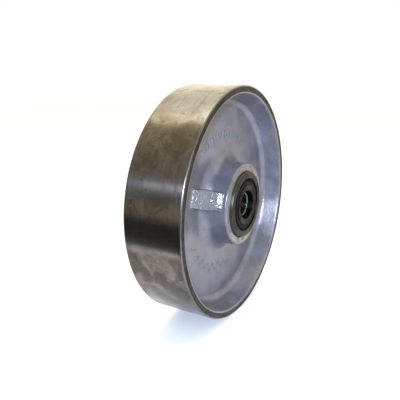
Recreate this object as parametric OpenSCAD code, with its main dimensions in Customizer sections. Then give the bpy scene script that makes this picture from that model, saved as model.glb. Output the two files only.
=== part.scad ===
// Cast roller wheel with two pressed-in sealed ball bearings and a stepped spacer sleeve.
// The wheel turns about the Y axis. The origin is at its centre, +Y points out of the face
// with the boss, and +Z is up. Pieces are drawn about the Z axis and laid over by on_axle().

/* [Wheel] */
// Diameter over the tread
tread_d = 203.2; // [200:0.1:206]
// Width of the tread
tread_w = 50.8; // [49:0.1:52]
// Chamfer on each edge of the tread
tread_chamfer = 1.2; // [0.5:0.1:2]
// Radial width of the turned end face of the rim
rim_face_w = 6.6; // [5:0.1:8]
// Draft of the inside of the rim, in degrees
rim_draft = 13.5; // [8:0.5:16]
// Thickness of the web between rim and hub
web_t = 11.5; // [9:0.5:14]
// Radius of the fillet where the web meets the rim
rim_fillet = 6; // [3:0.5:9]

/* [Hub] */
// Length of the hub over its turned faces
hub_len = 55.56; // [54:0.02:57]
// Outer diameter of the hub at its rounded end
hub_d = 71.6; // [68:0.2:76]
// Draft of the hub's outside, in degrees
hub_draft = 3; // [0:0.5:6]
// Radius of the hub's rounded outer edge
hub_edge_r = 1.6; // [1:0.1:4]
// Radius of the fillet where the hub meets the web
hub_fillet = 10; // [6:0.5:12]
// Diameter of the cored hole between the two bearing seats
core_d = 46; // [42:0.5:48]

/* [Boss on the hub] */
// Height of the boss above the horizontal, in degrees about the axle
boss_angle = 15; // [0:1:360]
// Width of the boss along the rim
boss_w = 16; // [12:0.5:20]
// Distance of the toe of the boss from the axle
boss_toe_r = 57.5; // [54:0.5:62]
// Distance of the flat land of the boss from the axle
boss_land_r = 38; // [37.5:0.1:40]

/* [Cast marks] */
// Distance of the raised marks from the axle
mark_r = 60; // [55:1:66]
// Height of a raised mark
mark_h = 0.9; // [0.5:0.1:1.5]
// Number of raised bars in the upper row
upper_marks = 17; // [3:1:19]
// Number of raised dots in the lower row
lower_marks = 15; // [3:1:17]

/* [Bearings] */
// Overall length over the inner rings
overall_len = 60.325; // [59:0.005:62]
// Outer diameter of a bearing
bearing_od = 57.15; // [57.15:0.01:57.2]
// Bore of a bearing
bearing_bore = 25.4; // [25.4:0.01:25.5]
// Width of a bearing
bearing_w = 15.875; // [15.875:0.005:16]
// Diameter of a ball
ball_d = 9.525; // [9.5:0.005:9.53]
// Diameter of the circle through the ball centres
pitch_d = 41.275; // [41.2:0.005:41.4]
// Number of balls in a bearing
balls = 8; // [8:1:8]
// Depth of a seal's flat face below the faces of the rings
seal_inset = 0.3; // [0.2:0.1:0.4]

/* [Sleeve] */
// Through bore of the spacer sleeve, for a 3/4 inch axle
axle_bore_d = 19.3; // [19.1:0.05:20]
// Diameter of the shoulder between the inner rings
shoulder_d = 31.75; // [30:0.25:33]
// Distance of each end of the sleeve below the inner ring's face
sleeve_inset = 4; // [3:0.5:8]

/* [Hidden] */
$fn = 128;
arc_steps = 8;

tread_r = tread_d / 2;
rim_z = tread_w / 2;
web_z = web_t / 2;
hub_z = hub_len / 2;
hub_r = hub_d / 2;
seat_r = bearing_od / 2;
seat_floor_z = overall_len / 2 - bearing_w;
seat_chamfer = 1;
rim_round = 1.5;

ring_z = bearing_w / 2;
bearing_mid_z = overall_len / 2 - ring_z;
pitch_r = pitch_d / 2;
ball_r = ball_d / 2;
race_clear = 0.03;
race_r = ball_r + race_clear;
outer_land_r = 23.2;
inner_land_r = 17.55;
ring_chamfer = 0.9;

outer_land_edge = 0.6;

seal_t = 1.1;
seal_moat_depth = 1.5;
seal_bead_t = 1;
seal_groove_depth = 0.8;
seal_lip_clear = 0.2;
seal_face_z = ring_z - seal_inset;
bead_outer_z = seal_face_z - seal_moat_depth;
bead_inner_z = bead_outer_z - seal_bead_t;

cage_t = 0.7;
cage_inner_r = 18.3;
cage_outer_r = 22.4;
pocket_clear = 0.1;
rivet_r = 0.6;
rivet_head_r = 1.1;
rivet_head_t = 0.45;
ball_step = 360 / balls;

sleeve_z = overall_len / 2 - sleeve_inset;
sleeve_fit = 0.01;
sleeve_chamfer = 1.2;

upper_mark_span = [52, 128];
lower_mark_span = [-98, -28];

silver_paint = [0.66, 0.66, 0.72];
olive_steel = [0.36, 0.35, 0.30];
bright_steel = [0.72, 0.72, 0.74];
seal_black = [0.07, 0.07, 0.08];
cage_steel = [0.60, 0.58, 0.52];

front_balls = [for (i = [1:balls]) str("front_ball_", i)];
rear_balls = [for (i = [1:balls]) str("rear_ball_", i)];

// Points of a round stretch about c, from angle a to angle b
function arc(c, r, a, b) = [
    for (i = [0:arc_steps])
        let (t = a + (b - a) * i / arc_steps)
        [c[0] + r * cos(t), c[1] + r * sin(t)]
];

// Distance of the hub's drafted side and of the rim's drafted inside from the axle, at height z
function hub_side_r(z) = hub_r + (hub_z - hub_edge_r - z) * tan(hub_draft);
function rim_inside_r(z) = tread_r - rim_face_w - (rim_z - z) * tan(rim_draft);

// Half section of the casting, from the bearing seat's floor out to the tread
function casting_outline() =
    let (
        hub_fillet_z = web_z + hub_fillet,
        hub_fillet_r = hub_side_r(hub_fillet_z) + hub_fillet / cos(hub_draft),
        rim_fillet_z = web_z + rim_fillet,
        rim_fillet_r = rim_inside_r(rim_fillet_z) - rim_fillet / cos(rim_draft),
        rim_round_z = rim_z - rim_round,
        rim_round_r = rim_inside_r(rim_round_z) + rim_round / cos(rim_draft)
    )
    concat(
        [[core_d / 2, seat_floor_z], [seat_r, seat_floor_z]],
        [[seat_r, hub_z - seat_chamfer], [seat_r + seat_chamfer, hub_z]],
        arc([hub_r - hub_edge_r, hub_z - hub_edge_r], hub_edge_r, 90, hub_draft),
        arc([hub_fillet_r, hub_fillet_z], hub_fillet, 180 + hub_draft, 270),
        arc([rim_fillet_r, rim_fillet_z], rim_fillet, 270, 360 - rim_draft),
        arc([rim_round_r, rim_round_z], rim_round, 180 - rim_draft, 90),
        [[tread_r - tread_chamfer, rim_z], [tread_r, rim_z - tread_chamfer]]
    );

// Lays a piece drawn about Z over onto the axle, so that its +Z becomes +Y
module on_axle() {
    rotate([-90, 0, 0]) children();
}

// Places a bearing piece: end is 1 for the front bearing and -1 for the rear one
module at_bearing(end) {
    on_axle()
        translate([0, 0, end * bearing_mid_z])
            mirror([0, 0, end < 0 ? 1 : 0])
                children();
}

module casting_body() {
    top = casting_outline();
    last = len(top) - 1;
    bottom = [for (i = [last:-1:0]) [top[i][0], -top[i][1]]];
    rotate_extrude() polygon(concat(top, bottom));
}

// Wedge that rises from the web to a flat land beside the hub, with a small pip on its slope
module hub_boss() {
    root_r = 32;
    root_z = 4;
    land_low_z = 19.6;
    land_high_z = 24.4;
    slope = (land_low_z - web_z) / (boss_toe_r - boss_land_r);
    buried_toe_r = boss_toe_r + (web_z - root_z) / slope;
    pip_r = 42;
    rotate([0, 0, -boss_angle]) {
        rotate([90, 0, 0])
            linear_extrude(height = boss_w, center = true)
                polygon([
                    [root_r, root_z],
                    [buried_toe_r, root_z],
                    [boss_land_r, land_low_z],
                    [boss_land_r, land_high_z],
                    [root_r + 3, land_high_z + 1],
                    [root_r, land_high_z + 1]
                ]);
        translate([pip_r, 0, land_low_z - (pip_r - boss_land_r) * slope])
            sphere(r = 1.2, $fn = 32);
    }
}

// Two rows of plain raised marks on the web: bars above the hub and dots below it
module cast_marks() {
    sunk = 1;
    upper_step = (upper_mark_span[1] - upper_mark_span[0]) / (upper_marks - 1);
    lower_step = (lower_mark_span[1] - lower_mark_span[0]) / (lower_marks - 1);
    for (i = [0:upper_marks - 1])
        rotate([0, 0, -(upper_mark_span[0] + i * upper_step)])
            translate([mark_r, 0, web_z + (mark_h - sunk) / 2])
                cube([i % 3 == 1 ? 4 : 6.5, 1.6, mark_h + sunk], center = true);
    for (i = [0:lower_marks - 1])
        rotate([0, 0, -(lower_mark_span[0] + i * lower_step)])
            translate([mark_r + (i % 2 == 0 ? 2 : -2), 0, web_z - sunk])
                cylinder(r = i % 3 == 0 ? 1.6 : 1.2, h = mark_h + sunk, $fn = 32);
}

module wheel_casting() {
    color(silver_paint)
        on_axle() {
            casting_body();
            hub_boss();
            cast_marks();
        }
}

module spacer_sleeve() {
    spigot_r = bearing_bore / 2 - sleeve_fit;
    bore_r = axle_bore_d / 2;
    tip_r = spigot_r - sleeve_chamfer;
    half = [
        [bore_r, sleeve_z],
        [tip_r, sleeve_z],
        [spigot_r, sleeve_z - sleeve_chamfer],
        [spigot_r, seat_floor_z],
        [shoulder_d / 2, seat_floor_z]
    ];
    last = len(half) - 1;
    other_half = [for (i = [last:-1:0]) [half[i][0], -half[i][1]]];
    color(bright_steel)
        on_axle()
            rotate_extrude() polygon(concat(half, other_half));
}

// Torus in which the balls run
module raceway() {
    rotate_extrude()
        translate([pitch_r, 0])
            circle(r = race_r, $fn = 96);
}

module outer_ring() {
    groove_r = outer_land_r + seal_groove_depth;
    half = [
        [outer_land_r, 0],
        [outer_land_r, bead_inner_z],
        [groove_r, bead_inner_z],
        [groove_r, bead_outer_z],
        [outer_land_r, bead_outer_z],
        [outer_land_r, ring_z - outer_land_edge],
        [outer_land_r + outer_land_edge, ring_z],
        [seat_r - ring_chamfer, ring_z],
        [seat_r, ring_z - ring_chamfer]
    ];
    last = len(half) - 1;
    other_half = [for (i = [last:-1:1]) [half[i][0], -half[i][1]]];
    color(olive_steel)
        difference() {
            rotate_extrude() polygon(concat(half, other_half));
            raceway();
        }
}

module inner_ring() {
    bore_r = bearing_bore / 2;
    edge = 0.5;
    half = [
        [bore_r, ring_z - ring_chamfer],
        [bore_r + ring_chamfer, ring_z],
        [inner_land_r - edge, ring_z],
        [inner_land_r, ring_z - edge]
    ];
    last = len(half) - 1;
    other_half = [for (i = [last:-1:0]) [half[i][0], -half[i][1]]];
    color(olive_steel)
        difference() {
            rotate_extrude() polygon(concat(half, other_half));
            raceway();
        }
}

// Moulded seal: a bead held low in the outer ring's groove, a moat beside it, a flat face and a thin lip
module seal() {
    bead_r = outer_land_r + seal_groove_depth;
    back_z = seal_face_z - seal_t;
    lip_r = inner_land_r + seal_lip_clear;
    lip_z = seal_face_z - 0.3;
    color(seal_black)
        rotate_extrude()
            polygon([
                [bead_r, bead_inner_z],
                [bead_r, bead_outer_z],
                [outer_land_r - 0.3, bead_outer_z],
                [outer_land_r - 1.4, seal_face_z],
                [lip_r + 0.9, seal_face_z],
                [lip_r + 0.6, lip_z],
                [lip_r, lip_z],
                [lip_r, back_z],
                [outer_land_r - 2, back_z],
                [outer_land_r - 0.6, bead_outer_z - 0.5],
                [outer_land_r - 0.4, bead_inner_z]
            ]);
}

module at_balls(first = 0) {
    for (i = [0:balls - 1])
        rotate([0, 0, first + i * ball_step])
            translate([pitch_r, 0, 0])
                children();
}

// One pressed half of the cage: flat lands between the balls and a domed pocket over each ball
module cage_half() {
    dome_r = ball_r + pocket_clear + cage_t;
    color(cage_steel)
        difference() {
            intersection() {
                union() {
                    cylinder(r = cage_outer_r + 1, h = cage_t);
                    at_balls() sphere(r = dome_r, $fn = 48);
                }
                difference() {
                    cylinder(r = cage_outer_r, h = 2 * dome_r);
                    translate([0, 0, -1])
                        cylinder(r = cage_inner_r, h = 2 * dome_r + 2);
                }
            }
            at_balls() sphere(r = ball_r + pocket_clear, $fn = 48);
            at_balls(ball_step / 2)
                translate([0, 0, -1])
                    cylinder(r = rivet_r, h = cage_t + 2, $fn = 24);
        }
}

// Rivets that hold the two cage halves together, one between each pair of balls
module cage_rivets() {
    shank_half = cage_t + rivet_head_t / 2;
    color(bright_steel)
        at_balls(ball_step / 2) {
            translate([0, 0, -shank_half])
                cylinder(r = rivet_r, h = 2 * shank_half, $fn = 24);
            for (side = [0, 1])
                mirror([0, 0, side])
                    translate([0, 0, cage_t])
                        cylinder(r = rivet_head_r, h = rivet_head_t, $fn = 24);
        }
}

// Ball number i of a bearing, counted round from +X
module ball(i) {
    color(bright_steel)
        rotate([0, 0, (i - 1) * ball_step])
            translate([pitch_r, 0, 0])
                sphere(r = ball_r, $fn = 48);
}

wheel_casting();
spacer_sleeve();

at_bearing(1) outer_ring();  // front_outer_ring
at_bearing(1) inner_ring();  // front_inner_ring
at_bearing(1) seal();  // front_outboard_seal
at_bearing(1) mirror([0, 0, 1]) seal();  // front_inboard_seal
at_bearing(1) cage_half();  // front_cage_outboard
at_bearing(1) mirror([0, 0, 1]) cage_half();  // front_cage_inboard
at_bearing(1) cage_rivets();  // front_cage_rivets
for (i = [1:balls])
    at_bearing(1) ball(i);

at_bearing(-1) outer_ring();  // rear_outer_ring
at_bearing(-1) inner_ring();  // rear_inner_ring
at_bearing(-1) seal();  // rear_outboard_seal
at_bearing(-1) mirror([0, 0, 1]) seal();  // rear_inboard_seal
at_bearing(-1) cage_half();  // rear_cage_outboard
at_bearing(-1) mirror([0, 0, 1]) cage_half();  // rear_cage_inboard
at_bearing(-1) cage_rivets();  // rear_cage_rivets
for (i = [1:balls])
    at_bearing(-1) ball(i);
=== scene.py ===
import math

import bpy
import numpy as np
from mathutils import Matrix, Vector, noise


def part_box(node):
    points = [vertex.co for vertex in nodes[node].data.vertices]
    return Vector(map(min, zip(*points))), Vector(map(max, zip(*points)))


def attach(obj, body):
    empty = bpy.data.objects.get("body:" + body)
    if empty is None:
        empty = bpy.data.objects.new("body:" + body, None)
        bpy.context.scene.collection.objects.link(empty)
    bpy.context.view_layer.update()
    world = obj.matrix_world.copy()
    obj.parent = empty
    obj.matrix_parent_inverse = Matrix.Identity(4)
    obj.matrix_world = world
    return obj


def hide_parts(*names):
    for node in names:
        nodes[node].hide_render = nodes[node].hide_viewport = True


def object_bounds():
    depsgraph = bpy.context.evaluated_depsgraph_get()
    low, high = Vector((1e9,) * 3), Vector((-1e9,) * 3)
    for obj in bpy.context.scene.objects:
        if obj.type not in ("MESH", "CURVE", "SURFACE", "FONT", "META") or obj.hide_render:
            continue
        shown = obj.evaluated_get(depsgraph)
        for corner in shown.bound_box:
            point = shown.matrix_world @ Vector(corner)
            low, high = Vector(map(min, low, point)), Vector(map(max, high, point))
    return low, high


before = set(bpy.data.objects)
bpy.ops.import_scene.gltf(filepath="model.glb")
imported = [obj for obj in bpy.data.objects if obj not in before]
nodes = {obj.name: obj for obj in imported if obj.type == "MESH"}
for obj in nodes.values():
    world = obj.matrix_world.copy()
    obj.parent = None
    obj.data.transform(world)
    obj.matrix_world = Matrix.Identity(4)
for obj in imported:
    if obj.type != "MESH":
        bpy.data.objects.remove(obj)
cad_low, cad_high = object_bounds()

# Everything below is in metres. The wheel turns about the Y axis and its centre is the origin.
# In names, R is a radius or a distance from the axle, H a height, W a width, L a length and T a thickness.
MM = 0.001

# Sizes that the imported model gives
casting_low, casting_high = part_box("wheel_casting")
outer_low, outer_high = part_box("front_outer_ring")
inner_low, inner_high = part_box("front_inner_ring")
sleeve_low, sleeve_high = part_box("spacer_sleeve")
TREAD_R = (casting_high.z - casting_low.z) / 2
HUB_HALF = casting_high.y
SEAT_R = (outer_high.z - outer_low.z) / 2
SEAT_FLOOR = outer_low.y
RING_FACE = outer_high.y
BEARING_MID = (outer_low.y + outer_high.y) / 2
INNER_LAND_R = (inner_high.z - inner_low.z) / 2
SLEEVE_END = sleeve_high.y
SHOULDER_R = (sleeve_high.z - sleeve_low.z) / 2

# Casting
RIM_HALF = 25.4 * MM
TREAD_ROUND = 1.2 * MM
RIM_FACE_W = 6.6 * MM
RIM_DRAFT = math.radians(13.5)
RIM_FILLET = 6 * MM
RIM_ROUND = 1.5 * MM
WEB_HALF = 5.75 * MM
CORE_R = 23 * MM
HUB_R = 35.8 * MM
HUB_DRAFT = math.radians(3)
HUB_EDGE = 1.6 * MM
HUB_FILLET = 10 * MM
SEAT_CHAMFER = 1 * MM

# Boss on the hub, in the casting's half section
BOSS_TURN = math.radians(15)
BOSS_HALF_W = 8 * MM
BOSS_TOE_R = 57.5 * MM
BOSS_LAND_R = 38 * MM
BOSS_LAND_LOW = 19.6 * MM
BOSS_LAND_HIGH = 24.4 * MM
BOSS_LAND_LEAN = 2.2 * MM
# How far the rounded foot of the boss's sides reaches in and out of its half width
BOSS_SIDE_IN = 0.9 * MM
BOSS_SIDE_OUT = 0.7 * MM
# Way in (radius, y) that the boss grows out of the casting, and the furthest it can
BOSS_WAY = np.array([1, 1]) / math.sqrt(2)
BOSS_REACH = 14 * MM

# Pip on the boss's slope. Its top drops by the lean for each unit outwards
PIP_AT_R = 42 * MM
PIP_R = 1 * MM
PIP_FOOT_R = 1.6 * MM
PIP_H = 0.8 * MM
PIP_LEAST_H = 0.1 * MM
PIP_LEAN = 0.58

# Raised marks on the web: one row of bars above the hub and two of dots below it
MARK_R = 60 * MM
MARK_H = 1 * MM
MARK_SOFT = 0.22 * MM
BAR_HALF_W = 0.8 * MM
BAR_HALF_L = 3.25 * MM
SHORT_BAR_HALF_L = 2 * MM
DOT_R = 1.2 * MM
BIG_DOT_R = 1.6 * MM
DOT_STAGGER = 2 * MM
UPPER_MARKS = 17
LOWER_MARKS = 15
UPPER_SPAN = (math.radians(52), math.radians(128))
LOWER_SPAN = (math.radians(-98), math.radians(-28))

# Unevenness of the sand-cast skin: how far apart its swells are and how high they stand
SKIN_SWELLS = ((16 * MM, 0.13 * MM), (4.5 * MM, 0.04 * MM), (1.9 * MM, 0.03 * MM))
BOSS_SWELLS = ((2.6 * MM, 0.22 * MM), (1.3 * MM, 0.14 * MM))

# Bearing rings, seals and sleeve
RING_EDGE = 0.6 * MM
OUTER_LAND_R = 23.2 * MM
BORE_R = 12.7 * MM
PITCH_R = 20.6375 * MM
RACE_R = 4.7925 * MM
OUTER_LAND_EDGE = 0.9 * MM
INNER_LAND_EDGE = 0.4 * MM
SEAL_INSET = 0.3 * MM
SEAL_T = 1.1 * MM
SEAL_MOAT = 1.5 * MM
SEAL_BEAD_T = 1 * MM
SEAL_GROOVE = 0.8 * MM
SEAL_LIP_CLEAR = 0.2 * MM
SEAL_LIP_STEP = 0.3 * MM
SEAL_WALL = 0.7 * MM
SEAL_WALL_R = OUTER_LAND_R - 0.25 * MM
SEAL_SLOPE_TOP_R = OUTER_LAND_R - 2.9 * MM
AXLE_R = 9.65 * MM
SPIGOT_R = BORE_R - 0.01 * MM
SLEEVE_CHAMFER = 1.2 * MM
SLEEVE_MOUTH = 0.7 * MM

# Distance from one tool mark to the next on turned faces
COARSE_CUT = 0.4 * MM
FINE_CUT = 0.3 * MM


# ---------------------------------------------------------------- outlines

def arc(centre, radius, start, end, steps):
    """Points of a round stretch in the (radius, y) plane, angles in degrees."""
    turns = np.radians(np.linspace(start, end, steps + 1))
    return [(centre[0] + radius * math.cos(t), centre[1] + radius * math.sin(t)) for t in turns]


def line(start, end, steps):
    """Points along a straight stretch, both ends included."""
    shares = np.linspace(0, 1, steps + 1)
    return [tuple(np.array(start) + (np.array(end) - np.array(start)) * s) for s in shares]


def hub_side_r(y):
    """Radius of the hub's drafted side at a distance from the middle plane."""
    return HUB_R + (HUB_HALF - HUB_EDGE - y) * math.tan(HUB_DRAFT)


def rim_inside_r(y):
    """Radius of the rim's drafted inside at a distance from the middle plane."""
    return TREAD_R - RIM_FACE_W - (RIM_HALF - y) * math.tan(RIM_DRAFT)


def casting_section(fineness):
    """Half section of the casting from the bearing seat out to the tread.

    Gives its (radius, y) points and the finish of each stretch between them. A smaller fineness
    leaves the painted stretches fewer points.
    """
    def steps(count):
        return max(2, round(count * fineness))

    hub_draft = math.degrees(HUB_DRAFT)
    rim_draft = math.degrees(RIM_DRAFT)
    hub_fillet_y = WEB_HALF + HUB_FILLET
    hub_fillet_r = hub_side_r(hub_fillet_y) + HUB_FILLET / math.cos(HUB_DRAFT)
    rim_fillet_y = WEB_HALF + RIM_FILLET
    rim_fillet_r = rim_inside_r(rim_fillet_y) - RIM_FILLET / math.cos(RIM_DRAFT)
    round_y = RIM_HALF - RIM_ROUND
    round_r = rim_inside_r(round_y) + RIM_ROUND / math.cos(RIM_DRAFT)
    tread_edge_y = RIM_HALF - TREAD_ROUND
    stretches = [
        ("bore", line((CORE_R, SEAT_FLOOR), (SEAT_R, SEAT_FLOOR), 2)),
        ("bore", line((SEAT_R, SEAT_FLOOR), (SEAT_R, HUB_HALF - SEAT_CHAMFER), 3)),
        ("hub_face", line((SEAT_R, HUB_HALF - SEAT_CHAMFER), (SEAT_R + SEAT_CHAMFER, HUB_HALF), 3)),
        ("hub_face", line((SEAT_R + SEAT_CHAMFER, HUB_HALF), (HUB_R - HUB_EDGE, HUB_HALF), 6)),
        ("paint", arc((HUB_R - HUB_EDGE, HUB_HALF - HUB_EDGE), HUB_EDGE, 90, hub_draft, steps(8))),
        ("paint", line((hub_side_r(HUB_HALF - HUB_EDGE), HUB_HALF - HUB_EDGE),
                       (hub_side_r(hub_fillet_y), hub_fillet_y), steps(18))),
        ("paint", arc((hub_fillet_r, hub_fillet_y), HUB_FILLET, 180 + hub_draft, 270, steps(34))),
        ("paint", line((hub_fillet_r, WEB_HALF), (rim_fillet_r, WEB_HALF), steps(70))),
        ("paint", arc((rim_fillet_r, rim_fillet_y), RIM_FILLET, 270, 360 - rim_draft, steps(12))),
        ("paint", line((rim_inside_r(rim_fillet_y), rim_fillet_y),
                       (rim_inside_r(round_y), round_y), steps(14))),
        ("paint", arc((round_r, round_y), RIM_ROUND, 180 - rim_draft, 90, 6)),
        ("rim_face", line((round_r, RIM_HALF), (TREAD_R - TREAD_ROUND, RIM_HALF), 5)),
        ("edge", arc((TREAD_R - TREAD_ROUND, tread_edge_y), TREAD_ROUND, 90, 0, 8)),
        ("tread", line((TREAD_R, tread_edge_y), (TREAD_R, 0), 10)),
    ]
    points = [stretches[0][1][0]]
    finishes = []
    for finish, run in stretches:
        points += run[1:]
        finishes += [finish] * (len(run) - 1)
    return np.array(points), finishes


def closed_section():
    """The fine front half and a coarser rear half, joined at the middle plane and through the core."""
    front, front_finishes = casting_section(1.0)
    rear, rear_finishes = casting_section(0.4)
    points = np.vstack([front, rear[-2::-1] * np.array([1, -1])])
    finishes = front_finishes + rear_finishes[::-1] + ["bore"]
    return points, finishes


# ---------------------------------------------------------------- meshes

def mesh_piece(name, verts, faces, materials, slots=None):
    """Smooth mesh of four-sided faces. Slots gives each face's place in the list of materials."""
    mesh = bpy.data.meshes.new(name)
    mesh.from_pydata([], [], [])
    mesh.vertices.add(len(verts))
    mesh.vertices.foreach_set("co", np.asarray(verts, np.float32).ravel())
    faces = np.asarray(faces, np.int32)
    mesh.loops.add(faces.size)
    mesh.loops.foreach_set("vertex_index", faces.ravel())
    mesh.polygons.add(len(faces))
    mesh.polygons.foreach_set("loop_start", np.arange(0, faces.size, 4, dtype=np.int32))
    for material in materials:
        mesh.materials.append(material)
    if slots is not None:
        mesh.polygons.foreach_set("material_index", np.asarray(slots, np.int32))
    mesh.polygons.foreach_set("use_smooth", np.ones(len(faces), bool))
    mesh.update(calc_edges=True)
    mesh.validate()
    piece = bpy.data.objects.new(name, mesh)
    bpy.context.scene.collection.objects.link(piece)
    return piece


def ring_faces(rows, turns):
    """Quads of a closed tube with rows points round its section and turns steps round the axle."""
    row = np.arange(rows)
    turn = np.arange(turns)
    here, along = np.meshgrid(row, turn, indexing="ij")
    next_row = (here + 1) % rows
    next_turn = (along + 1) % turns
    return np.stack([
        here * turns + along,
        here * turns + next_turn,
        next_row * turns + next_turn,
        next_row * turns + along,
    ], axis=-1).reshape(-1, 4)


def swept_points(section, turns):
    """Sweeps (radius, y) points about the Y axis. A turn of 0 is +X and a quarter turn is +Z."""
    radius, along = section[:, 0], section[:, 1]
    return np.stack([
        radius[:, None] * np.cos(turns)[None, :],
        np.repeat(along[:, None], len(turns), axis=1),
        radius[:, None] * np.sin(turns)[None, :],
    ], axis=-1)


def smoothstep(low, high, value):
    share = np.clip((value - low) / (high - low), 0, 1)
    return share * share * (3 - 2 * share)


def grain(points, size, seed):
    """Gradient noise at each point, in -1 to 1, with features about size across."""
    offset = Vector((seed * 17.3, seed * 5.1, seed * 9.7))
    return np.array([noise.noise(Vector(p) / size + offset) for p in points])


def unevenness(points, swells, first_seed):
    """Height of cast swells of several sizes together at each point."""
    layers = [grain(points, apart, first_seed + i) * high for i, (apart, high) in enumerate(swells)]
    return sum(layers)


def section_normals(section):
    """Outward normals of a closed (radius, y) section that runs from the bore out over the +Y face."""
    before = np.roll(section, 1, axis=0)
    after = np.roll(section, -1, axis=0)
    way = after - before
    normal = np.stack([-way[:, 1], way[:, 0]], axis=1)
    return normal / np.linalg.norm(normal, axis=1)[:, None]


def boss_lift(section, painted):
    """How far the boss's outline is from each painted point of the section, the way the boss grows."""
    slope_top = (BOSS_LAND_R, BOSS_LAND_LOW)
    land_top = (BOSS_LAND_R - BOSS_LAND_LEAN, BOSS_LAND_HIGH)
    into_hub = (HUB_R - 0.2 * MM, HUB_HALF - 1.8 * MM)
    outline = [(BOSS_TOE_R, WEB_HALF), slope_top, land_top, into_hub]
    lift = np.zeros(len(section))
    for i, point in enumerate(section):
        on_front = point[1] > WEB_HALF - 0.001 * MM
        if not (on_front and painted[i]):
            continue
        for a, b in zip(outline, outline[1:]):
            a, b = np.array(a), np.array(b)
            # Where point + reach * BOSS_WAY meets a + share * (b - a)
            reach, share = np.linalg.solve(np.array([BOSS_WAY, a - b]).T, a - point)
            if 0 <= share <= 1 and 0 < reach < BOSS_REACH:
                lift[i] = max(lift[i], reach)
    return lift


def wrapped(turn):
    """The same turn between minus and plus half a circle."""
    return (turn + math.pi) % (2 * math.pi) - math.pi


def mark_lift(radius, turns):
    """Height of the raised marks above the web at each radius and turn."""
    lift = np.zeros_like(radius)
    for i, turn in enumerate(np.linspace(*UPPER_SPAN, UPPER_MARKS)):
        half_long = SHORT_BAR_HALF_L if i % 3 == 1 else BAR_HALF_L
        aside = np.abs(wrapped(turns - turn)) * radius - BAR_HALF_W
        along = np.abs(radius - MARK_R) - half_long
        lift = np.maximum(lift, 1 - smoothstep(-MARK_SOFT, MARK_SOFT, np.maximum(aside, along)))
    for i, turn in enumerate(np.linspace(*LOWER_SPAN, LOWER_MARKS)):
        dot_r = BIG_DOT_R if i % 3 == 0 else DOT_R
        row_r = MARK_R + (DOT_STAGGER if i % 2 == 0 else -DOT_STAGGER)
        away = np.hypot(wrapped(turns - turn) * radius, radius - row_r) - dot_r
        lift = np.maximum(lift, 1 - smoothstep(-MARK_SOFT, MARK_SOFT, away))
    return lift * MARK_H


def casting_turns():
    """Steps round the wheel: close together across the boss and the raised marks, wider elsewhere."""
    boss_step = math.radians(0.35)
    mark_step = math.radians(0.45)
    plain_step = math.radians(0.6)
    beside_boss = math.radians(14)
    beside_marks = math.radians(4)
    fine = [
        (BOSS_TURN - beside_boss, BOSS_TURN + beside_boss, boss_step),
        (UPPER_SPAN[0] - beside_marks, UPPER_SPAN[1] + beside_marks, mark_step),
        (LOWER_SPAN[0] - beside_marks, LOWER_SPAN[1] + beside_marks, mark_step),
    ]
    turns = []
    turn = -math.pi
    while turn < math.pi - plain_step / 2:
        turns.append(turn)
        steps = [step for low, high, step in fine if low <= turn < high]
        turn += steps[0] if steps else plain_step
    return np.array(turns)


def make_casting(materials):
    """The whole casting as one closed skin, with its boss, pip, raised marks and uneven painted sides."""
    section, finishes = closed_section()
    normals = section_normals(section)
    turns = casting_turns()
    points = swept_points(section, turns)
    outward = swept_points(normals, turns)
    painted = np.array([f == "paint" for f in finishes])
    # Paint covers a point only when the stretches on both sides of it are painted
    painted &= np.roll(painted, 1)
    radius = np.repeat(section[:, :1], len(turns), axis=1)
    turn = np.repeat(turns[None, :], len(section), axis=0)
    lift = np.zeros(radius.shape)

    boss = boss_lift(section, painted)
    aside = np.abs(wrapped(turn - BOSS_TURN)) * np.maximum(radius, BOSS_LAND_R)
    boss_share = 1 - smoothstep(BOSS_HALF_W - BOSS_SIDE_IN, BOSS_HALF_W + BOSS_SIDE_OUT, aside)
    lift += boss[:, None] * boss_share
    boss_way = swept_points(np.tile(BOSS_WAY, (len(section), 1)), turns)
    outward = np.where((lift > 0)[..., None], boss_way, outward)

    on_web = (np.abs(section[:, 1] - WEB_HALF) < 0.01 * MM) & painted
    lift[on_web] += mark_lift(radius[on_web], turn[on_web])

    rough = np.zeros(radius.shape)
    skin = unevenness(points[painted].reshape(-1, 3), SKIN_SWELLS, 1)
    rough[painted] = skin.reshape(-1, len(turns))
    stands_out = boss[:, None] * boss_share > 0.3 * MM
    on_boss = stands_out & painted[:, None]
    boss_points = (points + outward * lift[..., None])[on_boss]
    rough[on_boss] += unevenness(boss_points, BOSS_SWELLS, 1 + len(SKIN_SWELLS))
    points = points + outward * (lift + rough)[..., None]

    points += boss_slope_normal() * pip_lift(points)[..., None]

    order = ["bore", "hub_face", "paint", "rim_face", "edge", "tread"]
    slots = np.repeat([order.index(f) for f in finishes], len(turns))
    piece = mesh_piece("casting", points.reshape(-1, 3), ring_faces(len(section), len(turns)),
                       [materials[f] for f in order], slots)
    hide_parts("wheel_casting")
    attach(piece, "wheel")


def at_boss(radius, y):
    """A (radius, y) place or way on the boss's middle line, in the wheel's frame."""
    return np.array([radius * math.cos(BOSS_TURN), y, radius * math.sin(BOSS_TURN)])


def boss_slope_normal():
    """Way in which the boss's sloping face looks."""
    width, rise = BOSS_TOE_R - BOSS_LAND_R, BOSS_LAND_LOW - WEB_HALF
    return at_boss(rise, width) / math.hypot(rise, width)


def boss_slope_fall():
    """Way straight down the boss's sloping face, from the hub outwards."""
    width, rise = BOSS_TOE_R - BOSS_LAND_R, BOSS_LAND_LOW - WEB_HALF
    return at_boss(width, -rise) / math.hypot(rise, width)


def boss_slope_point(radius):
    """Point on the middle line of the boss's sloping face at a distance from the axle."""
    share = (BOSS_TOE_R - radius) / (BOSS_TOE_R - BOSS_LAND_R)
    return at_boss(radius, WEB_HALF + share * (BOSS_LAND_LOW - WEB_HALF))


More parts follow.
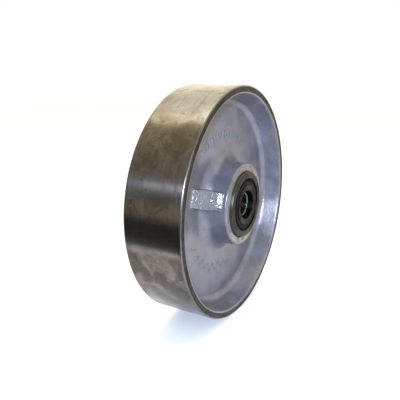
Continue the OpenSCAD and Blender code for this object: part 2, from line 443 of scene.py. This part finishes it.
def pip_lift(points):
    """Height of the pip above the boss's slope. Its top leans outwards like the land of the boss."""
    away = points - boss_slope_point(PIP_AT_R)
    share = 1 - smoothstep(PIP_R, PIP_FOOT_R, np.linalg.norm(away, axis=-1))
    height = PIP_H - PIP_LEAN * (away @ boss_slope_fall())
    return share * np.clip(height, PIP_LEAST_H, 2 * PIP_H)


def rounded(corners, default=0.12 * MM, steps=3):
    """Closed (radius, y) outline with each corner rounded. A corner is (radius, y) or (radius, y, round)."""
    points = []
    count = len(corners)
    for i in range(count):
        here = np.array(corners[i][:2])
        back = np.array(corners[i - 1][:2]) - here
        ahead = np.array(corners[(i + 1) % count][:2]) - here
        back_length, ahead_length = np.linalg.norm(back), np.linalg.norm(ahead)
        size = corners[i][2] if len(corners[i]) > 2 else default
        # Two rounds on one edge never meet
        size = min(size, 0.45 * back_length, 0.45 * ahead_length)
        start = here + back / back_length * size
        end = here + ahead / ahead_length * size
        # A point just past each end of the round keeps the smooth shading to the corner
        hold = 0.35 * size
        points.append(start + back / back_length * hold)
        for share in np.linspace(0, 1, steps + 1):
            points.append((1 - share) ** 2 * start + 2 * share * (1 - share) * here + share ** 2 * end)
        points.append(end + ahead / ahead_length * hold)
    return np.array(points)


def make_ring(name, outline, material, steps=192):
    """A piece that is round all the way: its outline swept about the axle."""
    turns = np.linspace(-math.pi, math.pi, steps, endpoint=False)
    points = swept_points(outline, turns)
    return mesh_piece(name, points.reshape(-1, 3), ring_faces(len(outline), steps), [material])


def placed(outline, end):
    """Moves a bearing outline from the bearing's own middle to the front (end 1) or the rear (end -1)."""
    moved = outline * np.array([1, end]) + np.array([0, end * BEARING_MID])
    return moved if end > 0 else moved[::-1]


def race(land_r, outer):
    """Points round the ball groove of a ring, from its -y lip to its +y lip."""
    half_angle = math.degrees(math.acos(abs(land_r - PITCH_R) / RACE_R))
    middle = 0 if outer else 180
    return arc((PITCH_R, 0), RACE_R, middle - half_angle, middle + half_angle, 14)


def outer_ring_outline():
    """Section of an outer ring: its ball groove and, outside of that on each side, a seal groove."""
    half_w = RING_FACE - BEARING_MID
    groove_out = half_w - SEAL_INSET - SEAL_MOAT
    groove_in = groove_out - SEAL_BEAD_T
    groove_r = OUTER_LAND_R + SEAL_GROOVE
    outside = rounded([
        (OUTER_LAND_R, groove_in),
        (groove_r, groove_in),
        (groove_r, groove_out),
        (OUTER_LAND_R, groove_out),
        (OUTER_LAND_R, half_w, OUTER_LAND_EDGE),
        (SEAT_R, half_w, RING_EDGE),
        (SEAT_R, -half_w, RING_EDGE),
        (OUTER_LAND_R, -half_w, OUTER_LAND_EDGE),
        (OUTER_LAND_R, -groove_out),
        (groove_r, -groove_out),
        (groove_r, -groove_in),
        (OUTER_LAND_R, -groove_in),
    ])
    return np.vstack([outside, np.array(race(OUTER_LAND_R, True))])


def inner_ring_outline():
    """Section of an inner ring: its bore, faces and ball groove."""
    half_w = RING_FACE - BEARING_MID
    outside = rounded([
        (INNER_LAND_R, -half_w, INNER_LAND_EDGE),
        (BORE_R, -half_w, RING_EDGE),
        (BORE_R, half_w, RING_EDGE),
        (INNER_LAND_R, half_w, INNER_LAND_EDGE),
    ])
    return np.vstack([outside, np.array(race(INNER_LAND_R, False))])


def seal_outline(side):
    """Section of a seal: a bead in the outer ring's groove, a slope up to a flat face, and a stepped lip."""
    face = RING_FACE - BEARING_MID - SEAL_INSET
    low = face - SEAL_MOAT
    back = face - SEAL_T
    bead_r = OUTER_LAND_R + SEAL_GROOVE
    lip_r = INNER_LAND_R + SEAL_LIP_CLEAR
    # Bead, slope, face and lip in turn, and then the back of the rubber out to the bead again
    outline = rounded([
        (bead_r, low - SEAL_BEAD_T),
        (bead_r, low),
        (SEAL_WALL_R, low),
        (SEAL_WALL_R, low + SEAL_WALL),
        (SEAL_SLOPE_TOP_R, face, 0.3 * MM),
        (lip_r + 3 * SEAL_LIP_STEP, face, 0.2 * MM),
        (lip_r + 2 * SEAL_LIP_STEP, face - SEAL_LIP_STEP),
        (lip_r, face - SEAL_LIP_STEP, 0.15 * MM),
        (lip_r, back),
        (OUTER_LAND_R - 2.6 * MM, back, 0.3 * MM),
        (OUTER_LAND_R - 1.9 * MM, low - 0.3 * MM, 0.2 * MM),
        (OUTER_LAND_R - 0.6 * MM, low - 0.6 * MM, 0.2 * MM),
        (OUTER_LAND_R - 0.4 * MM, low - SEAL_BEAD_T),
    ], default=0.08 * MM)
    return outline if side > 0 else (outline * np.array([1, -1]))[::-1]


def sleeve_outline():
    """Section of the spacer sleeve: a spigot in each bearing and a shoulder between them."""
    return rounded([
        (AXLE_R, SLEEVE_END - SLEEVE_MOUTH),
        (AXLE_R + SLEEVE_MOUTH, SLEEVE_END),
        (SPIGOT_R - SLEEVE_CHAMFER, SLEEVE_END),
        (SPIGOT_R, SLEEVE_END - SLEEVE_CHAMFER),
        (SPIGOT_R, SEAT_FLOOR),
        (SHOULDER_R, SEAT_FLOOR, 0.3 * MM),
        (SHOULDER_R, -SEAT_FLOOR, 0.3 * MM),
        (SPIGOT_R, -SEAT_FLOOR),
        (SPIGOT_R, SLEEVE_CHAMFER - SLEEVE_END),
        (SPIGOT_R - SLEEVE_CHAMFER, -SLEEVE_END),
        (AXLE_R + SLEEVE_MOUTH, -SLEEVE_END),
        (AXLE_R, SLEEVE_MOUTH - SLEEVE_END),
    ])


def stand_in(piece, node, body):
    """Puts a piece in the place of one CAD node, on its body."""
    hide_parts(node)
    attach(piece, body)


def make_bearing(end_name, end, materials):
    """The rings and seals of one bearing, with rounded edges and true ball grooves."""
    for ring, outline, body in (("outer", outer_ring_outline(), "wheel"),
                                ("inner", inner_ring_outline(), "axle_set")):
        piece = make_ring(f"{end_name}_{ring}_race", placed(outline, end), materials[f"{ring}_ring"])
        stand_in(piece, f"{end_name}_{ring}_ring", body)
    for place, side in (("outboard", 1), ("inboard", -1)):
        seal = make_ring(f"{end_name}_{place}_seal_disc", placed(seal_outline(side), end), materials["seal"])
        stand_in(seal, f"{end_name}_{place}_seal", "wheel")


# ---------------------------------------------------------------- shader helpers

def add(tree, kind, inputs=None, **settings):
    """Adds a shader node. A value in inputs that is a socket is linked, and any other is set."""
    made = tree.nodes.new(kind)
    for name, value in settings.items():
        setattr(made, name, value)
    for name, value in (inputs or {}).items():
        if isinstance(value, bpy.types.NodeSocket):
            tree.links.new(value, made.inputs[name])
        else:
            made.inputs[name].default_value = value
    return made


def maths(tree, operation, a, b=0.0):
    return add(tree, "ShaderNodeMath", {0: a, 1: b}, operation=operation).outputs[0]


def product(tree, *values):
    """All the values multiplied together."""
    result = values[0]
    for value in values[1:]:
        result = maths(tree, "MULTIPLY", result, value)
    return result


def vector_maths(tree, operation, a, b):
    return add(tree, "ShaderNodeVectorMath", {0: a, 1: b}, operation=operation).outputs[0]


def mix(tree, share, a, b):
    """Colour between a and b. Either is a socket or three numbers."""
    made = add(tree, "ShaderNodeMix", {"Factor": share}, data_type="RGBA")
    for socket, value in ((made.inputs[6], a), (made.inputs[7], b)):
        if isinstance(value, bpy.types.NodeSocket):
            tree.links.new(value, socket)
        else:
            socket.default_value = (*value, 1)
    return made.outputs[2]


def spread(tree, value, low, high, to_low=0.0, to_high=1.0):
    """Maps low..high of a value onto to_low..to_high with soft ends."""
    return add(tree, "ShaderNodeMapRange", {0: value, 1: low, 2: high, 3: to_low, 4: to_high},
               interpolation_type="SMOOTHSTEP").outputs[0]


def noise_at(tree, vector, scale, detail=3.0, rough=0.55, distort=0.0):
    """Cloudy value from 0 to 1. For a place in metres the scale is the number of clouds to the metre."""
    made = add(tree, "ShaderNodeTexNoise", {
        "Vector": vector, "Scale": scale, "Detail": detail, "Roughness": rough, "Distortion": distort})
    return made.outputs["Fac"]


def new_group(name, inputs, outputs):
    """An empty shader node group with named sockets. Each socket is (name, type, default)."""
    tree = bpy.data.node_groups.new(name, "ShaderNodeTree")
    for label, kind, default in inputs:
        socket = tree.interface.new_socket(label, in_out="INPUT", socket_type=kind)
        if default is not None:
            socket.default_value = default
    for label, kind in outputs:
        tree.interface.new_socket(label, in_out="OUTPUT", socket_type=kind)
    return tree, tree.nodes.new("NodeGroupInput").outputs, tree.nodes.new("NodeGroupOutput").inputs


def use_group(tree, group, inputs=None):
    """Places a shared effect in a material and gives its outputs."""
    return add(tree, "ShaderNodeGroup", inputs, node_tree=group).outputs


# ---------------------------------------------------------------- shared effects

def build_round_places():
    """Place on the wheel: distance from the axle, place along it, and turn about it from -1 to 1."""
    tree, _, out = new_group("round_places", [], [
        ("Radius", "NodeSocketFloat"), ("Along", "NodeSocketFloat"),
        ("Turn", "NodeSocketFloat"), ("Place", "NodeSocketVector")])
    place = add(tree, "ShaderNodeTexCoord").outputs["Object"]
    x, y, z = add(tree, "ShaderNodeSeparateXYZ", {0: place}).outputs
    square = maths(tree, "ADD", product(tree, x, x), product(tree, z, z))
    tree.links.new(maths(tree, "SQRT", square), out["Radius"])
    tree.links.new(y, out["Along"])
    turn = maths(tree, "ARCTAN2", z, x)
    tree.links.new(maths(tree, "DIVIDE", turn, math.pi), out["Turn"])
    tree.links.new(place, out["Place"])
    return tree


def build_turning_lines():
    """Fine tool marks of a lathe: lines at even places across the cut, changing slowly round the wheel."""
    tree, given, out = new_group("turning_lines", [
        ("Across", "NodeSocketFloat", None), ("Place", "NodeSocketVector", None),
        ("Pitch", "NodeSocketFloat", COARSE_CUT)],
        [("Height", "NodeSocketFloat"), ("Tone", "NodeSocketFloat")])
    cuts = maths(tree, "DIVIDE", given["Across"], given["Pitch"])
    round_wheel = vector_maths(tree, "MULTIPLY", given["Place"], (9, 0, 9))
    cut_by_cut = add(tree, "ShaderNodeCombineXYZ", {1: cuts}).outputs[0]
    where = vector_maths(tree, "ADD", cut_by_cut, round_wheel)
    fine = noise_at(tree, where, 1.0, detail=2.0)
    broad = noise_at(tree, vector_maths(tree, "MULTIPLY", where, (1, 0.12, 1)), 1.0, detail=2.0)
    both = maths(tree, "ADD", product(tree, fine, 0.65), product(tree, broad, 0.35))
    tree.links.new(both, out["Height"])
    tree.links.new(spread(tree, both, 0.3, 0.7), out["Tone"])
    return tree


def build_cast_grain():
    """Sand-cast skin under paint: pebbled height and a cloudy tone."""
    tree, given, out = new_group("cast_grain", [
        ("Place", "NodeSocketVector", None), ("Size", "NodeSocketFloat", 1.5 * MM)],
        [("Height", "NodeSocketFloat"), ("Tone", "NodeSocketFloat")])
    per_metre = maths(tree, "DIVIDE", 1.0, given["Size"])
    pebble = add(tree, "ShaderNodeTexVoronoi", {"Vector": given["Place"], "Scale": per_metre},
                 feature="SMOOTH_F1").outputs["Distance"]
    fine = noise_at(tree, given["Place"], product(tree, per_metre, 1.7), detail=4.0, rough=0.65)
    both = maths(tree, "ADD", product(tree, pebble, 0.4), product(tree, fine, 0.8))
    tree.links.new(both, out["Height"])
    cloud = noise_at(tree, given["Place"], product(tree, per_metre, 0.09), detail=4.0, rough=0.6)
    tree.links.new(spread(tree, cloud, 0.32, 0.68), out["Tone"])
    return tree


def build_stain_spots():
    """Cloudy patches of old oil and rust, and a few small dark spots."""
    tree, given, out = new_group("stain_spots", [
        ("Place", "NodeSocketVector", None), ("Size", "NodeSocketFloat", 20 * MM)],
        [("Patch", "NodeSocketFloat"), ("Spots", "NodeSocketFloat")])
    per_metre = maths(tree, "DIVIDE", 1.0, given["Size"])
    cloud = noise_at(tree, given["Place"], per_metre, detail=6.0, rough=0.68, distort=0.6)
    tree.links.new(spread(tree, cloud, 0.42, 0.62), out["Patch"])
    fleck = noise_at(tree, given["Place"], product(tree, per_metre, 5.0), rough=0.6)
    tree.links.new(spread(tree, fleck, 0.64, 0.74), out["Spots"])
    return tree


def build_scuff_lines():
    """Thin short scuffs that run mostly along the axle, here and there."""
    tree, given, out = new_group("scuff_lines", [
        ("Place", "NodeSocketVector", None), ("Size", "NodeSocketFloat", 20 * MM)],
        [("Mask", "NodeSocketFloat")])
    per_metre = maths(tree, "DIVIDE", 1.0, given["Size"])
    drawn_out = vector_maths(tree, "MULTIPLY", given["Place"], (1, 0.4, 1))
    field = noise_at(tree, drawn_out, per_metre, rough=0.4, distort=0.15)
    away = maths(tree, "ABSOLUTE", maths(tree, "SUBTRACT", field, 0.5))
    thin = spread(tree, away, 0.003, 0.009, 1.0, 0.0)
    elsewhere = vector_maths(tree, "ADD", given["Place"], (0.31, 0.17, 0.23))
    here = spread(tree, noise_at(tree, elsewhere, product(tree, per_metre, 3.0)), 0.50, 0.60)
    tree.links.new(product(tree, thin, here), out["Mask"])
    return tree


# ---------------------------------------------------------------- materials

def new_material(name, **uniform):
    """A material with one Principled shader. Values that are the same all over are set on it."""
    material = bpy.data.materials.new(name)
    material.use_nodes = True
    shader = material.node_tree.nodes["Principled BSDF"]
    for label, value in uniform.items():
        shader.inputs[label.replace("_", " ")].default_value = value
    return material, material.node_tree, shader


def bump(tree, height, strength, distance):
    """Normal of a surface whose height changes by up to distance."""
    return add(tree, "ShaderNodeBump", {
        "Height": height, "Strength": strength, "Distance": distance}).outputs["Normal"]


def finish_material(tree, shader, colour, roughness, normal=None, metallic=None):
    """Links what changes over the surface to the material's shader."""
    for label, value in (("Base Color", colour), ("Roughness", roughness),
                         ("Normal", normal), ("Metallic", metallic)):
        if value is not None:
            tree.links.new(value, shader.inputs[label])


def brush_round_axle(tree, shader):
    """Draws highlights out across tool marks that run round the axle."""
    tangent = add(tree, "ShaderNodeTangent", direction_type="RADIAL", axis="Y").outputs[0]
    tree.links.new(tangent, shader.inputs["Tangent"])


def beside_boss(tree, places):
    """Distance sideways from the boss's middle line."""
    turn = maths(tree, "SUBTRACT", product(tree, places["Turn"], math.pi), BOSS_TURN)
    return product(tree, maths(tree, "ABSOLUTE", turn), places["Radius"])


def boss_area(tree, places):
    """1 on the boss's sloping face and its land, 0 elsewhere."""
    across = spread(tree, beside_boss(tree, places), BOSS_HALF_W + 0.2 * MM, BOSS_HALF_W - 0.8 * MM)
    outside_hub = spread(tree, places["Radius"], HUB_R + 0.3 * MM, HUB_R + 0.9 * MM)
    inside_toe = spread(tree, places["Radius"], BOSS_TOE_R + 1 * MM, BOSS_TOE_R - 1 * MM)
    above_web = spread(tree, places["Along"], WEB_HALF + 0.6 * MM, WEB_HALF + 2 * MM)
    return product(tree, across, inside_toe, outside_hub, above_web)


def pip_area(tree, places):
    """1 on the small pip in the middle of the boss's slope, 0 elsewhere."""
    outwards = maths(tree, "SUBTRACT", places["Radius"], PIP_AT_R)
    across = spread(tree, beside_boss(tree, places), PIP_FOOT_R, PIP_R + 0.1 * MM)
    along = spread(tree, maths(tree, "ABSOLUTE", outwards), PIP_FOOT_R, PIP_R + 0.1 * MM)
    return product(tree, across, along)


def silver_paint(groups):
    """Aluminium paint on a sand casting, a little blue, dusty in patches, coarse on the boss's slope."""
    material, tree, shader = new_material("silver_paint")
    places = use_group(tree, groups["places"])
    skin = use_group(tree, groups["cast"], {"Place": places["Place"], "Size": 1.6 * MM})
    stains = use_group(tree, groups["stains"], {"Place": places["Place"], "Size": 30 * MM})
    dark_paint, light_paint = (0.125, 0.128, 0.168), (0.188, 0.192, 0.243)
    dust, fleck = (0.135, 0.124, 0.105), (0.07, 0.067, 0.085)
    paint = mix(tree, skin["Tone"], dark_paint, light_paint)
    dusty = mix(tree, product(tree, stains["Patch"], 0.45), paint, dust)
    flecked = mix(tree, product(tree, stains["Spots"], 0.45), dusty, fleck)
    metallic = spread(tree, stains["Patch"], 0.0, 1.0, 0.5, 0.4)

    # The boss's slope shows its sand, while its land and the pip are worn smoother
    boss = boss_area(tree, places)
    land = spread(tree, places["Along"], BOSS_LAND_LOW - 0.2 * MM, BOSS_LAND_LOW + 0.6 * MM)
    pip = pip_area(tree, places)
    sand = noise_at(tree, places["Place"], 520.0, detail=2.0, rough=0.7)
    sand_height = spread(tree, land, 0.0, 1.0, 15.0, 2.0)
    coarse = product(tree, boss, sand_height, maths(tree, "SUBTRACT", 1.0, pip))
    height = maths(tree, "ADD", skin["Height"], product(tree, sand, coarse))
    normal = bump(tree, height, 0.35, 0.3 * MM)
    rough = spread(tree, skin["Tone"], 0.0, 1.0, 0.28, 0.36)
    rough = maths(tree, "SUBTRACT", rough, product(tree, land, boss, 0.14))
    rough = maths(tree, "SUBTRACT", rough, product(tree, pip, 0.12))
    finish_material(tree, shader, flecked, rough, normal, metallic)
    return material


def turned_tread(groups):
    """Bare turned iron of the tread, browned by oil and handling, with grime and painted shade over its
    lower front quarter.
    """
    material, tree, shader = new_material("turned_tread", Metallic=1.0, Anisotropic=1.0,
                                          Anisotropic_Rotation=0.25)
    places = use_group(tree, groups["places"])
    lines = use_group(tree, groups["lines"], {
        "Across": places["Along"], "Place": places["Place"], "Pitch": 0.35 * MM})
    stains = use_group(tree, groups["stains"], {"Place": places["Place"], "Size": 22 * MM})
    scuffs = use_group(tree, groups["scuffs"], {"Place": places["Place"], "Size": 28 * MM})
    dark_iron, light_iron = (0.18, 0.173, 0.168), (0.26, 0.25, 0.243)
    # The grime colours below are partly painted shade of the lower tread
    dark_grime_and_shade, light_grime_and_shade = (0.048, 0.037, 0.034), (0.160, 0.135, 0.128)
    oil, smear = (0.115, 0.095, 0.074), (0.07, 0.056, 0.044)
    spot, scuff = (0.06, 0.045, 0.035), (0.04, 0.032, 0.025)

    iron = mix(tree, lines["Tone"], dark_iron, light_iron)
    oiled = mix(tree, product(tree, stains["Patch"], 0.75), iron, oil)
    # Grime and painted shade: from just below level at the front round past the bottom the tread is
    # darkened, partly as dirt and partly standing in for a darker reflection of the floor
    degrees = product(tree, places["Turn"], 180.0)
    lower_grime_and_shade = product(tree, spread(tree, degrees, -6.0, -12.0), spread(tree, degrees, -125.0, -95.0))
    clouds = noise_at(tree, places["Place"], 60.0, detail=5.0, rough=0.6, distort=0.4)
    grime_and_shade_tone = mix(tree, spread(tree, clouds, 0.38, 0.62), dark_grime_and_shade, light_grime_and_shade)
    grimed_and_shaded = mix(tree, product(tree, lower_grime_and_shade, 0.85), oiled, grime_and_shade_tone)
    wiped = noise_at(tree, places["Place"], 210.0, detail=4.0, rough=0.7, distort=0.8)
    smeared = mix(tree, product(tree, spread(tree, wiped, 0.6, 0.72), 0.7), grimed_and_shaded, smear)
    spotted = mix(tree, product(tree, stains["Spots"], 0.8), smeared, spot)
    scuffed = mix(tree, product(tree, scuffs["Mask"], 0.6), spotted, scuff)
    rough = spread(tree, stains["Patch"], 0.0, 1.0, 0.16, 0.22)
    brush_round_axle(tree, shader)
    finish_material(tree, shader, scuffed, rough, bump(tree, lines["Height"], 0.3, 0.05 * MM))
    return material


def turned_face(name, groups, dark, light, stain, rough_clean, rough_stained, stain_share,
                pitch=COARSE_CUT, ground=None):
    """A face cut on the lathe, with rings of tool marks round the axle.

    Ground is the brighter colour of a bearing's ground outside, for the ring that has one.
    """
    material, tree, shader = new_material(name, Metallic=1.0, Anisotropic=0.6, Anisotropic_Rotation=0.25)
    places = use_group(tree, groups["places"])
    lines = use_group(tree, groups["lines"], {
        "Across": places["Radius"], "Place": places["Place"], "Pitch": pitch})
    stains = use_group(tree, groups["stains"], {"Place": places["Place"], "Size": 12 * MM})
    steel = mix(tree, lines["Tone"], dark, light)
    stained = mix(tree, product(tree, stains["Patch"], stain_share), steel, stain)
    spotted = mix(tree, product(tree, stains["Spots"], 0.5), stained, tuple(c * 0.35 for c in stain))
    if ground is not None:
        outside = spread(tree, places["Radius"], SEAT_R - 0.25 * MM, SEAT_R - 0.05 * MM)
        spotted = mix(tree, outside, spotted, ground)
    rough = spread(tree, stains["Patch"], 0.0, 1.0, rough_clean, rough_stained)
    brush_round_axle(tree, shader)
    finish_material(tree, shader, spotted, rough, bump(tree, lines["Height"], 0.3, 0.06 * MM))
    return material


def moulded_rubber(groups):
    """Black seal rubber. Oily dust lies on its flat face and not on the slope beside the outer ring."""
    material, tree, shader = new_material("seal_rubber", Specular_IOR_Level=0.04)
    places = use_group(tree, groups["places"])
    stains = use_group(tree, groups["stains"], {"Place": places["Place"], "Size": 8 * MM})
    rubber, dust = (0.002, 0.002, 0.002), (0.016, 0.015, 0.011)
    flat = spread(tree, places["Radius"], SEAL_SLOPE_TOP_R + 0.2 * MM, SEAL_SLOPE_TOP_R - 0.2 * MM)
    dusty = product(tree, flat, spread(tree, stains["Patch"], 0.0, 1.0, 0.6, 1.0))
    rough = spread(tree, stains["Patch"], 0.0, 1.0, 0.55, 0.75)
    fine = noise_at(tree, places["Place"], 1800.0)
    finish_material(tree, shader, mix(tree, dusty, rubber, dust), rough, bump(tree, fine, 0.15, 0.04 * MM))
    return material


def polished_steel(name, groups, colour, rough):
    """Lapped or pressed steel with a thin film of grease."""
    material, tree, shader = new_material(name, Metallic=1.0)
    places = use_group(tree, groups["places"])
    stains = use_group(tree, groups["stains"], {"Place": places["Place"], "Size": 6 * MM})
    greased = mix(tree, product(tree, stains["Patch"], 0.4), colour, tuple(c * 0.7 for c in colour))
    finish_material(tree, shader, greased, spread(tree, stains["Patch"], 0.0, 1.0, rough, rough + 0.12))
    return material


def make_materials():
    """Every finish by name.

    A turned face is given by its dark, light and stain colours, by its roughness where clean and where
    stained, and by how much its stains show. A bearing's has a fine cut and the outer ring a ground outside.
    """
    groups = {
        "places": build_round_places(),
        "lines": build_turning_lines(),
        "cast": build_cast_grain(),
        "stains": build_stain_spots(),
        "scuffs": build_scuff_lines(),
    }
    return {
        "paint": silver_paint(groups),
        "tread": turned_tread(groups),
        "rim_face": turned_face("turned_rim_face", groups, (0.022, 0.020, 0.018), (0.05, 0.046, 0.041),
                                (0.018, 0.014, 0.010), 0.42, 0.55, 0.6),
        "edge": turned_face("bright_edge", groups, (0.12, 0.12, 0.125), (0.20, 0.20, 0.21),
                            (0.08, 0.07, 0.06), 0.28, 0.38, 0.4),
        "hub_face": turned_face("turned_hub_face", groups, (0.205, 0.208, 0.222), (0.335, 0.34, 0.36),
                                (0.15, 0.115, 0.085), 0.42, 0.6, 0.6),
        "bore": turned_face("bored_seat", groups, (0.25, 0.245, 0.23), (0.38, 0.37, 0.35),
                            (0.15, 0.13, 0.10), 0.3, 0.45, 0.4),
        "outer_ring": turned_face("outer_ring_steel", groups, (0.010, 0.010, 0.008), (0.030, 0.029, 0.024),
                                  (0.010, 0.009, 0.007), 0.42, 0.55, 0.5, FINE_CUT, (0.12, 0.115, 0.105)),
        "inner_ring": turned_face("inner_ring_steel", groups, (0.003, 0.003, 0.0025), (0.010, 0.010, 0.008),
                                  (0.003, 0.0025, 0.002), 0.5, 0.62, 0.5, FINE_CUT),
        "sleeve": turned_face("sleeve_steel", groups, (0.10, 0.10, 0.105), (0.19, 0.19, 0.20),
                              (0.05, 0.045, 0.04), 0.24, 0.36, 0.5, FINE_CUT),
        "seal": moulded_rubber(groups),
        "ball": polished_steel("ball_steel", groups, (0.7, 0.7, 0.72), 0.06),
        "cage": polished_steel("cage_strip", groups, (0.5, 0.48, 0.42), 0.3),
        "rivet": polished_steel("rivet_steel", groups, (0.6, 0.6, 0.6), 0.25),
    }


def paint_node(name, material):
    """Gives a CAD node that is kept as it is its material."""
    data = nodes[name].data
    data.materials.clear()
    data.materials.append(material)
    data.polygons.foreach_set("use_smooth", np.ones(len(data.polygons), bool))


# ---------------------------------------------------------------- stage

def soft_light(name, place, width, height, power, colour):
    """Rectangular lamp at a place, turned towards the middle of the wheel."""
    lamp = bpy.data.lights.new(name, "AREA")
    lamp.shape = "RECTANGLE"
    lamp.size = width
    lamp.size_y = height
    lamp.energy = power
    lamp.color = colour
    holder = bpy.data.objects.new(name, lamp)
    holder.location = place
    holder.rotation_mode = "QUATERNION"
    holder.rotation_quaternion = Vector(place).to_track_quat("Z", "Y")
    holder.visible_camera = False
    bpy.context.scene.collection.objects.link(holder)


def sky_light(name, towards, spread_angle, strength, colour):
    """Overhead light as even over the whole floor as a bright ceiling far away."""
    lamp = bpy.data.lights.new(name, "SUN")
    lamp.angle = spread_angle
    lamp.energy = strength
    lamp.color = colour
    holder = bpy.data.objects.new(name, lamp)
    holder.rotation_mode = "QUATERNION"
    holder.rotation_quaternion = Vector(towards).to_track_quat("Z", "Y")
    bpy.context.scene.collection.objects.link(holder)


def make_floor():
    """Wide pale table top under the tread. It ends a hand's width in front of the wheel."""
    front_edge = 0.2
    far_edge = -3.0
    half_width = 3.0
    steps = 24
    x_places = np.linspace(far_edge, front_edge, steps + 1)
    y_places = np.linspace(-half_width, half_width, steps + 1)
    x, y = np.meshgrid(x_places, y_places, indexing="ij")
    verts = np.stack([x, y, np.full_like(x, cad_low.z)], axis=-1).reshape(-1, 3)
    i, j = np.meshgrid(np.arange(steps), np.arange(steps), indexing="ij")
    first = i * (steps + 1) + j
    faces = np.stack([first, first + steps + 1, first + steps + 2, first + 1], axis=-1).reshape(-1, 4)
    material, _, _ = new_material("pale_floor", Roughness=0.8, Base_Color=(0.80, 0.83, 0.88, 1))
    floor = mesh_piece("floor", verts, faces, [material])


def make_world():
    """White to the camera. To the wheel it is a room with a warm bright back and a dim front.

    Heights are in degrees round the room: 0 is level in front, 90 overhead and 180 level behind.
    """
    world = bpy.data.worlds.new("studio")
    world.use_nodes = True
    tree = world.node_tree
    tree.nodes.clear()
    way = add(tree, "ShaderNodeTexCoord").outputs["Generated"]
    x, y, z = add(tree, "ShaderNodeSeparateXYZ", {0: way}).outputs
    height = product(tree, maths(tree, "ARCTAN2", z, x), 180 / math.pi)
    floor_dark, low_haze, middle_grey = (0.07, 0.07, 0.072), (0.50, 0.43, 0.32), (0.34, 0.34, 0.34)
    wall_low, wall_high = (0.48, 0.43, 0.32), (0.80, 0.66, 0.45)
    ceiling_edge, ceiling_white, back_wall = (2.7, 2.45, 1.5), (2.0, 1.8, 1.35), (1.5, 1.35, 1.05)

    wall = mix(tree, spread(tree, height, 40, 82), wall_low, wall_high)
    dusk = mix(tree, spread(tree, height, 18, 40), middle_grey, wall)
    haze = mix(tree, spread(tree, height, 2, 9), low_haze, dusk)
    front = mix(tree, spread(tree, height, -17, -3), floor_dark, haze)
    ceiling = mix(tree, spread(tree, height, 95, 99), ceiling_edge, ceiling_white)
    back = mix(tree, spread(tree, height, 150, 178), ceiling, back_wall)
    # The ceiling and back fade towards the side that the wheel's face looks at
    faded = product(tree, spread(tree, height, 85.5, 88.5), spread(tree, y, 0.0, 0.8, 1.0, 0.45))
    room = mix(tree, faded, front, back)
    lit = add(tree, "ShaderNodeBackground", {"Color": room, "Strength": 1.0})
    white = add(tree, "ShaderNodeBackground", {"Color": (1, 1, 1, 1), "Strength": 1.0})
    seen = add(tree, "ShaderNodeLightPath").outputs["Is Camera Ray"]
    both = add(tree, "ShaderNodeMixShader", {0: seen, 1: lit.outputs[0], 2: white.outputs[0]})
    output = add(tree, "ShaderNodeOutputWorld")
    tree.links.new(both.outputs[0], output.inputs["Surface"])
    bpy.context.scene.world = world


def make_camera():
    """Camera ahead of the tread, to the side that the front face looks at and a little above."""
    camera = bpy.data.cameras.new("camera")
    camera.sensor_width = 36
    camera.lens = 41.9
    camera.clip_start = 0.01
    holder = bpy.data.objects.new("camera", camera)
    holder.location = (0.3610, 0.1903, 0.1087)
    holder.rotation_mode = "QUATERNION"
    looking = Vector((-0.837, -0.481, -0.257))
    holder.rotation_quaternion = looking.to_track_quat("-Z", "Y")
    bpy.context.scene.collection.objects.link(holder)
    bpy.context.scene.camera = holder


def make_lights():
    """A warm ceiling, a cool lamp behind the camera and a cool tall window on the face's side."""
    warm = (1.0, 0.95, 0.86)
    cool = (0.70, 0.81, 1.0)
    sky_light("ceiling", (-0.15, -0.2, 0.97), spread_angle=math.radians(30), strength=0.9, colour=warm)
    soft_light("front", (0.777, 0.409, 0.305), width=0.066, height=0.026, power=14.5, colour=cool)
    soft_light("window", (0.45, 0.92, 0.32), width=0.14, height=0.8, power=2.5, colour=cool)


def main():
    bpy.context.scene.view_settings.view_transform = "Standard"
    make_camera()
    make_world()
    make_lights()
    make_floor()
    materials = make_materials()
    make_casting(materials)
    make_bearing("front", 1, materials)
    make_bearing("rear", -1, materials)
    sleeve = make_ring("axle_sleeve", sleeve_outline(), materials["sleeve"])
    stand_in(sleeve, "spacer_sleeve", "axle_set")
    for name in nodes:
        if "_ball_" in name:
            paint_node(name, materials["ball"])
        elif name.endswith("_rivets"):
            paint_node(name, materials["rivet"])
        elif "_cage_" in name:
            paint_node(name, materials["cage"])


main()
